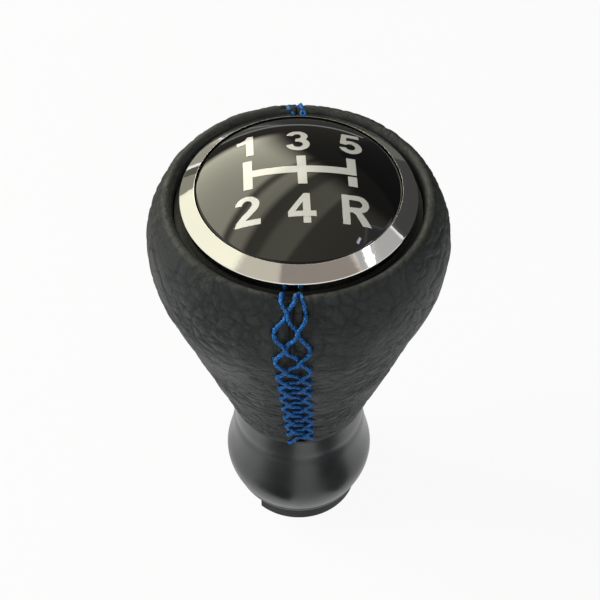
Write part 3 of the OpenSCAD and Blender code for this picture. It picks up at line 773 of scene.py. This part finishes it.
def thread_finish():
    """Royal blue waxed thread whose colour a fine noise runs from near-black blue to pale blue: partly the
    paler fibre, partly painted highlight and shade.
    """
    material, tree, shader, place = new_material("blue waxed thread")
    fibre_and_highlight_noise = add(tree, "ShaderNodeTexNoise",
                 {"Vector": place, "Scale": 3800.0, "Detail": 4.0, "Roughness": 0.6}).outputs["Fac"]
    # The pale end of this mix is partly a painted highlight and the dark end partly painted shade.
    lit = spread(tree, fibre_and_highlight_noise, 0.4, 0.64)
    give(tree, shader, {
        "Base Color": blend_colour(tree, lit, (0.001, 0.012, 0.085), (0.020, 0.235, 0.66)),
        "Roughness": spread(tree, fibre_and_highlight_noise, 0.3, 0.7, 0.42, 0.6),
        "Normal": bumped(tree, fibre_and_highlight_noise, 0.00006),
        "Specular IOR Level": 0.3,
    })
    return material


def make_finishes():
    """The finish of each of the record's material slots."""
    return {
        "grip_leather": leather_finish(),
        "lacing_thread": thread_finish(),
        "badge_gloss_black": plain_finish(
            "gloss black badge", (0.0045, 0.0045, 0.005), (0.0035, 0.0035, 0.004), (0.03, 0.045),
            bump=0.0000002),
        "print_white": plain_finish(
            "white print", (0.63, 0.62, 0.56), (0.60, 0.59, 0.53), (0.16, 0.2),
            bump=0.0000005, Coat_Weight=0.5, Coat_Roughness=0.03),
        "pad_foam": plain_finish(
            "pad foam", (0.2, 0.2, 0.2), (0.14, 0.14, 0.14), (0.85, 0.95),
            bump=0.00008, specks=4200.0),
        "bezel_chrome": plain_finish(
            "bright chrome", (0.83, 0.82, 0.79), (0.80, 0.79, 0.77), (0.025, 0.06),
            bump=0.0000016, specks=620.0, Metallic=1.0),
        "moulded_black": plain_finish(
            "moulded black", (0.013, 0.014, 0.015), (0.009, 0.010, 0.011), (0.5, 0.62),
            bump=0.00003, Specular_IOR_Level=0.25),
        "collar_satin": plain_finish(
            "satin collar", (0.014, 0.0155, 0.016), (0.011, 0.0125, 0.013), (0.3, 0.36),
            bump=0.000004, specks=5200.0, Specular_IOR_Level=0.65),
        "sleeve_nylon": plain_finish(
            "natural nylon", (0.64, 0.62, 0.55), (0.58, 0.56, 0.49), (0.42, 0.52)),
        "clip_steel": plain_finish(
            "spring steel", (0.47, 0.48, 0.50), (0.38, 0.39, 0.41), (0.25, 0.38),
            bump=0.000003, Metallic=1.0),
    }


def badge_shape():
    """Domed badge with a small rounding at its edge."""
    last = math.asin((BADGE_R - 0.225) / DOME_R)
    dome = [(DOME_R * math.sin(a), DOME_C + DOME_R * math.cos(a)) for a in np.linspace(0, last, 40)]
    edge_z = dome[-1][1]
    corner = [(BADGE_R - 0.12, edge_z - 0.09), (BADGE_R - 0.03, edge_z - 0.2), (BADGE_R, edge_z - 0.36)]
    foot = [(BADGE_R, BADGE_Z + 0.03), (BADGE_R, BADGE_Z), (BADGE_R - 0.03, BADGE_Z), (0.0, BADGE_Z)]
    return lathe("domed_badge", dome + corner + foot, closed=False)


def bezel_shape():
    """Chromed ring with a sloping face whose edges are finely rounded."""
    slope = math.atan2(BEZEL_RISE, BEZEL_R - BEZEL_IN_R)
    under = BEZEL_WALL / math.cos(slope)
    skirt_in_r = BEZEL_R - BEZEL_WALL
    points = [
        (skirt_in_r, BEZEL_FOOT_Z), (BEZEL_R, BEZEL_FOOT_Z), (BEZEL_R, BEZEL_Z),
        (BEZEL_IN_R, BEZEL_TOP_Z), (BEZEL_IN_R, BEZEL_TOP_Z - under),
        (skirt_in_r, BEZEL_Z + BEZEL_WALL * math.tan(slope) - under),
    ]
    return lathe("chrome_bezel", rounded(points, BEZEL_ROUNDINGS))


def bezier(p, steps):
    """Points of a cubic curve."""
    made = []
    for i in range(steps + 1):
        t = i / steps
        w = ((1 - t) ** 3, 3 * (1 - t) ** 2 * t, 3 * (1 - t) * t * t, t ** 3)
        made.append(tuple(sum(wk * pk[c] for wk, pk in zip(w, p)) for c in (0, 1)))
    return made


def collar_shape():
    """Collar that flares to a rounded belly, with a shallow valley under the leather."""
    (top_r, top_z), (belly_r, belly_z), (lip_r, lip_z) = COLLAR_TOP, COLLAR_BELLY, COLLAR_LIP
    flare = bezier([COLLAR_TOP, (top_r + 0.05, 17), (belly_r, belly_z + 3.1), COLLAR_BELLY], 48)
    belly = bezier([COLLAR_BELLY, (belly_r, belly_z - 2.4), (lip_r + 0.7, lip_z + 1.3), COLLAR_LIP], 24)
    flare = [(r - COLLAR_VALLEY * bell(z - (top_z - 6), 1.2), z) for r, z in flare]
    shoulder = [(top_r - 0.33, top_z), (top_r - 0.3, top_z), (top_r - 0.09, top_z - 0.09),
                (top_r, top_z - 0.3)]
    flare = [(r, z) for r, z in flare if z < top_z - 0.33]
    bead = [(lip_r - 0.02, lip_z - 0.1), (lip_r - 0.01, lip_z - 0.25), (lip_r, lip_z - 0.55),
            (lip_r - 0.08, lip_z - 0.75), (lip_r - 0.25, COLLAR_Z + 0.03), (lip_r - 0.35, COLLAR_Z)]
    roof_z, spigot_z, spigot_in_r = top_z - COLLAR_ROOF_T, top_z + SPIGOT_LEN, SPIGOT_R - SPIGOT_T
    inside = [(SKIRT_R, COLLAR_Z), (SKIRT_R, roof_z), (spigot_in_r, roof_z), (spigot_in_r, spigot_z),
              (SPIGOT_R, spigot_z), (SPIGOT_R, top_z)]
    return lathe("satin_collar", shoulder + flare + belly[1:] + bead + inside, steps=192)


def dome_height(x, y):
    """Height of the print's surface at a place on the badge."""
    return DOME_C + math.sqrt((DOME_R + PRINT_LIFT) ** 2 - x * x - y * y)


def flat_strip(x0, y0, x1, y1, step=0.4):
    """Points and faces of a flat rectangle, cut fine enough to follow the dome."""
    columns, rows = max(1, round((x1 - x0) / step)), max(1, round((y1 - y0) / step))
    points = [(x0 + (x1 - x0) * i / columns, y0 + (y1 - y0) * j / rows)
              for j in range(rows + 1) for i in range(columns + 1)]
    faces = [(j * (columns + 1) + i, j * (columns + 1) + i + 1,
              (j + 1) * (columns + 1) + i + 1, (j + 1) * (columns + 1) + i)
             for j in range(rows) for i in range(columns)]
    return points, faces


def gate_strips():
    """Lines of a five-speed gate; reverse lies below fifth behind a gap."""
    h, w, (one, two, three) = GATE_H / 2, LINE_W / 2, GATE_COLUMNS
    return [
        (one - w, -h, one + w, h), (two - w, -h, two + w, h), (three - w, -w, three + w, h),
        (three - w, -h, three + w, -w - REVERSE_GAP),
        (one + w, -w, two - w, w), (two + w, -w, three - w, w),
    ]


def bow(cx, cy, rx, ry, start, end, steps=16):
    """Points along a stretch of an ellipse, between two angles in degrees."""
    angles = [math.radians(start + (end - start) * k / steps) for k in range(steps + 1)]
    return [(cx + rx * math.cos(a), cy + ry * math.sin(a)) for a in angles]


def numeral_outlines():
    """Bold upright signs in millimetres: each has its outline first, and then a hole if it has one."""
    top = NUMERAL_H
    return {
        "1": [[(1.6, 0), (2.84, 0), (2.84, top), (1.85, top)] + bow(-0.15, top, 1.9, 1.55, -8, -85, 8)
              + [(0, 3.55)] + bow(0.1, 5.3, 2.2, 1.7, -80, -48, 6)],
        "2": [[(0, 0), (4.4, 0), (4.4, 1.12), (1.85, 1.12), (2.55, 1.75), (3.55, 2.75)]
              + bow(2.25, 4.28, 2.02, 1.87, -28, 176, 24) + [(1.36, 4.3)]
              + bow(2.22, 4.35, 0.83, 0.83, 170, -32, 14)
              + [(2.35, 3.1), (1.2, 2.05), (0.35, 1.0)]],
        "3": [bow(2.05, 4.45, 1.85, 1.7, 168, -38, 22) + bow(2.1, 1.9, 2.05, 1.9, 42, -172, 24)
              + [(1.25, 1.95)] + bow(2.1, 1.82, 0.85, 0.84, 186, 446, 22)
              + [(1.65, 2.65), (1.78, 3.6)] + bow(2.02, 4.38, 0.72, 0.78, -88, 164, 18)],
        "4": [[(2.5, 0), (3.75, 0), (3.75, 1.3), (4.7, 1.3), (4.7, 2.4), (3.75, 2.4), (3.75, top),
               (2.7, top), (0, 2.35), (0, 1.3), (2.5, 1.3)],
              [(2.5, 2.4), (2.5, 4.3), (1.2, 2.4)]],
        "5": [[(3.8, top), (3.8, 5.02), (1.62, 5.02), (1.42, 3.85)]
              + bow(2.1, 1.98, 2.0, 2.0, 112, -170, 28) + [(1.27, 1.68)]
              + bow(2.08, 1.95, 0.84, 0.93, 198, 498, 24) + [(0.3, 2.75), (0.82, top)]],
        "R": [[(0, 0), (1.25, 0), (1.25, 2.5), (1.7, 2.5), (2.2, 2.2), (3.3, 0), (4.82, 0), (3.9, 1.7),
               (3.25, 2.65)] + bow(2.85, 4.4, 1.72, 1.75, -64, 90, 18) + [(0, top)],
              [(1.25, 5.1), (2.75, 5.1)] + bow(2.7, 4.33, 0.72, 0.77, 80, -80, 12) + [(1.25, 3.55)]],
    }


def filled(outlines):
    """The flat mesh inside a numeral's outlines."""
    curve = bpy.data.curves.new("numeral", "CURVE")
    curve.dimensions = "2D"
    curve.fill_mode = "BOTH"
    for outline in outlines:
        spline = curve.splines.new("POLY")
        spline.points.add(len(outline) - 1)
        for point, (x, y) in zip(spline.points, outline):
            point.co = (x, y, 0, 1)
        spline.use_cyclic_u = True
    holder = placed("numeral", curve)
    graph = bpy.context.evaluated_depsgraph_get()
    mesh = bpy.data.meshes.new_from_object(holder.evaluated_get(graph), depsgraph=graph)
    bpy.data.objects.remove(holder)
    return mesh


def numeral_mesh(outlines, longest=0.6, rounds=4):
    """Points and faces of a numeral, cut fine enough to follow the dome, round its own middle."""
    work = bmesh.new()
    work.from_mesh(filled(outlines))
    bmesh.ops.remove_doubles(work, verts=work.verts, dist=1e-4)
    bmesh.ops.triangulate(work, faces=work.faces)
    for _ in range(rounds):
        long = [e for e in work.edges if e.calc_length() > longest]
        if long:
            bmesh.ops.subdivide_edges(work, edges=long, cuts=1)
            bmesh.ops.triangulate(work, faces=work.faces)
    points = np.array([v.co[:2] for v in work.verts])
    faces = [[v.index for v in f.verts] for f in work.faces]
    work.free()
    return points - (points.min(axis=0) + points.max(axis=0)) / 2, faces


def shift_pattern():
    """Gate lines and numerals as thin print that follows the dome."""
    points, faces = [], []
    for x0, y0, x1, y1 in gate_strips():
        more, cells = flat_strip(x0, y0, x1, y1)
        faces += [[len(points) + k for k in cell] for cell in cells]
        points += more
    for sign, outlines in numeral_outlines().items():
        column, row, share = NUMERALS[sign]
        flat, cells = numeral_mesh(outlines)
        faces += [[len(points) + k for k in cell] for cell in cells]
        points += [(column * GATE_PITCH + u, row + v * share) for u, v in flat]
    cos, sin = math.cos(PATTERN_TURN), math.sin(PATTERN_TURN)
    over, up = PATTERN_MIDDLE
    places = [(over + x * cos - y * sin, up + x * sin + y * cos) for x, y in points]
    made = make_object("shift_pattern", [(x, y, dome_height(x, y)) for x, y in places], faces)
    work = bmesh.new()
    work.from_mesh(made.data)
    bmesh.ops.remove_doubles(work, verts=work.verts, dist=1e-7)
    for face in work.faces:
        if face.normal.z < 0:
            face.normal_flip()
    work.to_mesh(made.data)
    work.free()
    return made


# Stage, with its places in metres but the floor's half size in millimetres. The glow is the floor's
# share of plain white, and the fill is how strongly the background lights the knob.
FLOOR_HALF = 1500
FLOOR_GLOW = 0.93
FILL = 0.2
LIGHT_TARGET = (0, 0, 0.06)
UP, DOWN, RIGHT, REARWARD = (0, 0, 1), (0, 0, -1), (1, 0, 0), (0, 1, 0)
WHITE = (1, 1, 1)

# The fan card stands over the badge. Its bands of light spread from a corner, on the card's own axes,
# begin at one distance from it and are full at another, and fade out towards the card's rear end.
FAN_FACING = (0, -0.65, -0.76)
FAN_MIDDLE = (0.0, 0.458, 0.878)
FAN_W = 2.07
FAN_H = 2.585
FAN_REACH = 0.9
FAN_X = 0.95 * FAN_REACH
FAN_Y = 0.9 * FAN_REACH + 0.167
FAN_START = 1.02 * FAN_REACH
FAN_FULL = 1.3 * FAN_REACH
FAN_REAR = (-1.02, -0.84)
FAN_COLOUR = (1.0, 0.965, 0.75)
FAN_BASE = 0.12
# Angles in degrees round the corner and the strengths there, all below the top strength
FAN_TOP = 6.0
FAN_BANDS = [(0, 4.6), (36.5, 4.6), (38.5, 0.8), (39.5, 0.8), (41.5, 3.0), (45.5, 2.8), (48.0, 0.5),
             (52.0, 0.55), (54.5, 1.3), (63.0, 1.4), (65.0, 0.5), (90, 0.4)]

# Plain cards: name, middle, facing, direction of the width, width, height, strength, colour and the
# strength at the edges, where 1 melts into the white background
PLAIN_CARDS = [
    # In front of and above the bezel
    ("overhead card", (0.19, -0.42, 0.72), DOWN, RIGHT, 0.72, 0.4, 0.3, (1.0, 0.88, 0.79), 0.6),
    ("beige card", (-0.4, -0.42, 0.73), DOWN, RIGHT, 0.6, 0.4, 0.6, (1.0, 0.95, 0.8), 0.8),
    # Beside it
    ("left card", (-1.53, 0.273, 1.037), FAN_FACING, RIGHT, 0.97, 2.175, 1.12, (1.0, 0.98, 0.8), 1.0),
    ("rear left card", (-0.86, 0.66, 0.14), (0.8, -0.6, 0), RIGHT, 0.62, 0.28, 0.3, (1.0, 0.97, 0.8), 0.3),
    ("right card", (0.6, 0.5, 0.22), (-0.78, -0.62, -0.1), UP, 0.7, 1.1, 0.06, WHITE, 0.1),
    ("right upper card", (0.64, -0.06, 0.56), (-0.75, 0.05, -0.6), REARWARD, 0.5, 0.5, 0.45, WHITE, 1.0),
    # Small bright spots on the bezel and the dome
    ("flash card", (0.46, -0.08, 0.56), (-0.6, 0.05, -0.8), (0.3, 1, 0), 0.16, 0.028, 6.0, WHITE, 1.0),
    ("glint card", (0.33, 0.006, 0.589), (-0.55, 0, -0.84), (0.4, 1, 0), 0.044, 0.015, 12.0,
     (0.8, 0.75, 1.0), 1.0),
    # On the floor: the two small dark cards by the knob's foot are a painted shadow of the knob in the
    # collar's reflection; the two large dim ones darken the rear of the bezel
    ("left floor card", (-0.0135, -0.036, 0.002), UP, RIGHT, 0.023, 0.038, 0.06, WHITE, 1.0),
    ("right floor card", (0.0265, -0.031, 0.002), UP, RIGHT, 0.030, 0.036, 0.06, WHITE, 1.0),
    ("rear floor card", (0.34, 0.68, 0.003), UP, RIGHT, 0.86, 1.24, 0.14, (0.95, 1.0, 0.9), 0.3),
    ("rear left floor card", (-0.5, 0.68, 0.003), UP, RIGHT, 0.8, 1.24, 0.36, (1.0, 0.97, 0.8), 0.5),
]

# The photograph's view: from the front, steeply down
CAMERA_PLACE = (0.00024, -0.1742, 0.2597)
CAMERA_TILT = math.radians(40.6)
CAMERA_LENS = 85.98


def camera_share(tree):
    """1 for rays from the camera and for mirrored and transmitted ones, else 0."""
    path = add(tree, "ShaderNodeLightPath")
    seen = calc(tree, "MAXIMUM", path.outputs["Is Camera Ray"], path.outputs["Is Glossy Ray"])
    return calc(tree, "MAXIMUM", seen, path.outputs["Is Transmission Ray"])


def make_world():
    """A white background that lights the object only softly."""
    world = bpy.data.worlds.new("studio")
    bpy.context.scene.world = world
    world.use_nodes = True
    tree = world.node_tree
    give(tree, tree.nodes["Background"], {
        "Color": (1, 1, 1, 1),
        "Strength": spread(tree, camera_share(tree), 0.0, 1.0, FILL, 1.0),
    })


def bare_material(name):
    """A material without a shader: itself, its tree and the socket that takes the shader."""
    material = bpy.data.materials.new(name)
    material.use_nodes = True
    tree = material.node_tree
    tree.nodes.remove(tree.nodes["Principled BSDF"])
    return material, tree, tree.nodes["Material Output"].inputs["Surface"]


def flat_sheet(name, w, h):
    """A flat rectangle of these half sizes in millimetres."""
    return make_object(name, [(-w, -h, 0), (w, -h, 0), (w, h, 0), (-w, h, 0)], [[0, 1, 2, 3]], smooth=False)


def make_floor():
    """Pale floor that shows almost white and keeps the knob's shadow."""
    floor = flat_sheet("floor", FLOOR_HALF, FLOOR_HALF)
    material, tree, surface = bare_material("pale floor")
    matt = add(tree, "ShaderNodeBsdfDiffuse", {"Color": (0.6, 0.6, 0.6, 1)})
    glow = add(tree, "ShaderNodeEmission", {"Color": (1, 1, 1, 1), "Strength": 1.0})
    share = calc(tree, "MULTIPLY", camera_share(tree), FLOOR_GLOW)
    mixed = add(tree, "ShaderNodeMixShader", {0: share, 1: matt.outputs[0], 2: glow.outputs[0]})
    tree.links.new(mixed.outputs[0], surface)
    floor.data.materials.append(material)


def soft_light(name, place, width, height, power, colour):
    """A rectangular soft light that faces the knob."""
    data = bpy.data.lights.new(name, "AREA")
    data.shape = "RECTANGLE"
    data.size, data.size_y = width, height
    data.energy = power
    data.color = colour
    lamp = placed(name, data)
    lamp.location = place
    lamp.rotation_euler = (Vector(LIGHT_TARGET) - Vector(place)).to_track_quat("-Z", "Y").to_euler()
    lamp.visible_glossy = False


def card(name, middle, facing, across, width, height):
    """A flat card for reflections only: its glow, its tree and its own x and y."""
    facing, across = Vector(facing).normalized(), Vector(across)
    across = (across - facing * across.dot(facing)).normalized()
    made = flat_sheet(name, width / 2 / MM, height / 2 / MM)
    turn = Matrix((across, facing.cross(across), facing)).transposed().to_4x4()
    made.matrix_world = Matrix.Translation(Vector(middle)) @ turn
    for rays in ("camera", "diffuse", "shadow", "transmission", "volume_scatter"):
        setattr(made, "visible_" + rays, False)
    material, tree, surface = bare_material(name)
    glow = add(tree, "ShaderNodeEmission")
    tree.links.new(glow.outputs[0], surface)
    made.data.materials.append(material)
    split = add(tree, "ShaderNodeSeparateXYZ", {"Vector": add(tree, "ShaderNodeTexCoord").outputs["Object"]})
    return glow, tree, split.outputs["X"], split.outputs["Y"]


def plain_card(name, middle, facing, across, width, height, strength, colour, rim):
    """A card of one brightness that turns into its rim's brightness towards its edges."""
    glow, tree, x, y = card(name, middle, facing, across, width, height)
    reach_x = spread(tree, calc(tree, "ABSOLUTE", x), width * 0.42, width * 0.5)
    reach_y = spread(tree, calc(tree, "ABSOLUTE", y), height * 0.42, height * 0.5)
    edge = calc(tree, "MAXIMUM", reach_x, reach_y)
    give(tree, glow, {"Color": (*colour, 1), "Strength": spread(tree, edge, 0.0, 1.0, strength, rim)})


def fan_strength(tree, angle):
    """Strength of the fan's bands at an angle round its corner."""
    bands = tree.nodes.new("ShaderNodeFloatCurve")
    ramp = bands.mapping.curves[0]
    ramp.points[0].location = (0.0, FAN_BANDS[0][1] / FAN_TOP)
    ramp.points[1].location = (1.0, FAN_BANDS[-1][1] / FAN_TOP)
    for degrees, strength in FAN_BANDS[1:-1]:
        ramp.points.new(degrees / 90, strength / FAN_TOP)
    for point in ramp.points:
        point.handle_type = "VECTOR"
    bands.mapping.update()
    tree.links.new(calc(tree, "DIVIDE", angle, math.pi / 2), bands.inputs["Value"])
    return calc(tree, "MULTIPLY", bands.outputs[0], FAN_TOP)


def fan_card():
    """The card over the badge: soft bands of light that fan out from a corner, as through blinds."""
    glow, tree, x, y = card("fan card", FAN_MIDDLE, FAN_FACING, RIGHT, FAN_W, FAN_H)
    left = calc(tree, "SUBTRACT", FAN_X, x)
    down = calc(tree, "ADD", y, FAN_Y)
    bands = fan_strength(tree, calc(tree, "ARCTAN2", down, left))
    away = calc(tree, "SQRT", calc(tree, "ADD", calc(tree, "MULTIPLY", left, left),
                                   calc(tree, "MULTIPLY", down, down)))
    lit = calc(tree, "MULTIPLY", bands, spread(tree, away, FAN_START, FAN_FULL))
    lit = calc(tree, "MULTIPLY", lit, spread(tree, y, *FAN_REAR))
    give(tree, glow, {"Color": (*FAN_COLOUR, 1), "Strength": calc(tree, "ADD", lit, FAN_BASE)})


def make_camera():
    """The scene's camera, at the photograph's view."""
    data = bpy.data.cameras.new("camera")
    data.sensor_width = 36
    data.lens = CAMERA_LENS
    data.clip_start = 0.01
    camera = placed("camera", data)
    camera.location = CAMERA_PLACE
    camera.rotation_euler = (CAMERA_TILT, 0, 0)
    bpy.context.scene.camera = camera


def make_stage():
    """Background, floor, lights, cards and camera."""
    bpy.context.scene.view_settings.view_transform = "Standard"
    make_world()
    make_floor()
    soft_light("key", (-0.62, 0.12, 0.5), 0.5, 0.4, 7.6, (1.0, 0.97, 0.9))
    soft_light("front", (0.15, -0.7, 0.5), 0.5, 0.3, 1.9, (0.8, 0.91, 1.0))
    fan_card()
    for values in PLAIN_CARDS:
        plain_card(*values)
    make_camera()


def finish_piece(piece, finishes, slot, *nodes):
    """Puts a made piece in place of its CAD nodes and gives it its finish."""
    piece.data.materials.clear()
    piece.data.materials.append(finishes[slot])
    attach(piece, "root")
    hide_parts(*nodes)


def dress_cad_nodes(finishes):
    """Gives the CAD nodes their finish, which shows on those that stay."""
    slots = {row["node"]: row["material_slot"] for row in frame["record"]["subparts"]}
    for name, made in frame["nodes"].items():
        made.data.materials.clear()
        made.data.materials.append(finishes[slots[name]])


def build():
    """Builds every piece and the stage."""
    finishes = make_finishes()
    dress_cad_nodes(finishes)
    thread = thread_tree()
    thread_values = {
        "Radius": THREAD_D / 2 / (1 + PLY_DEPTH) * MM,
        "Ply Depth": PLY_DEPTH,
        "Thread": finishes["lacing_thread"],
    }
    for name, rear, node, seed in (("front_thread", False, "front_lacing", 3),
                                   ("rear_thread", True, "rear_lacing", 4)):
        piece = grown(lacing_curve(name + "_runs", rear, seed), thread, thread_values, name)
        finish_piece(piece, finishes, "lacing_thread", node)
    noise.seed_set(GRAIN_SEED)
    for name, side, node, seed in (("left_panel", -1, "left_leather", 5),
                                   ("right_panel", 1, "right_leather", 6)):
        finish_piece(leather_panel(name, side, seed), finishes, "grip_leather", node)
    finish_piece(badge_shape(), finishes, "badge_gloss_black", "badge_dome")
    finish_piece(shift_pattern(), finishes, "print_white", "gate_print")
    finish_piece(bezel_shape(), finishes, "bezel_chrome", "bezel_ring")
    finish_piece(collar_shape(), finishes, "collar_satin", "lower_collar")
    make_stage()


build()
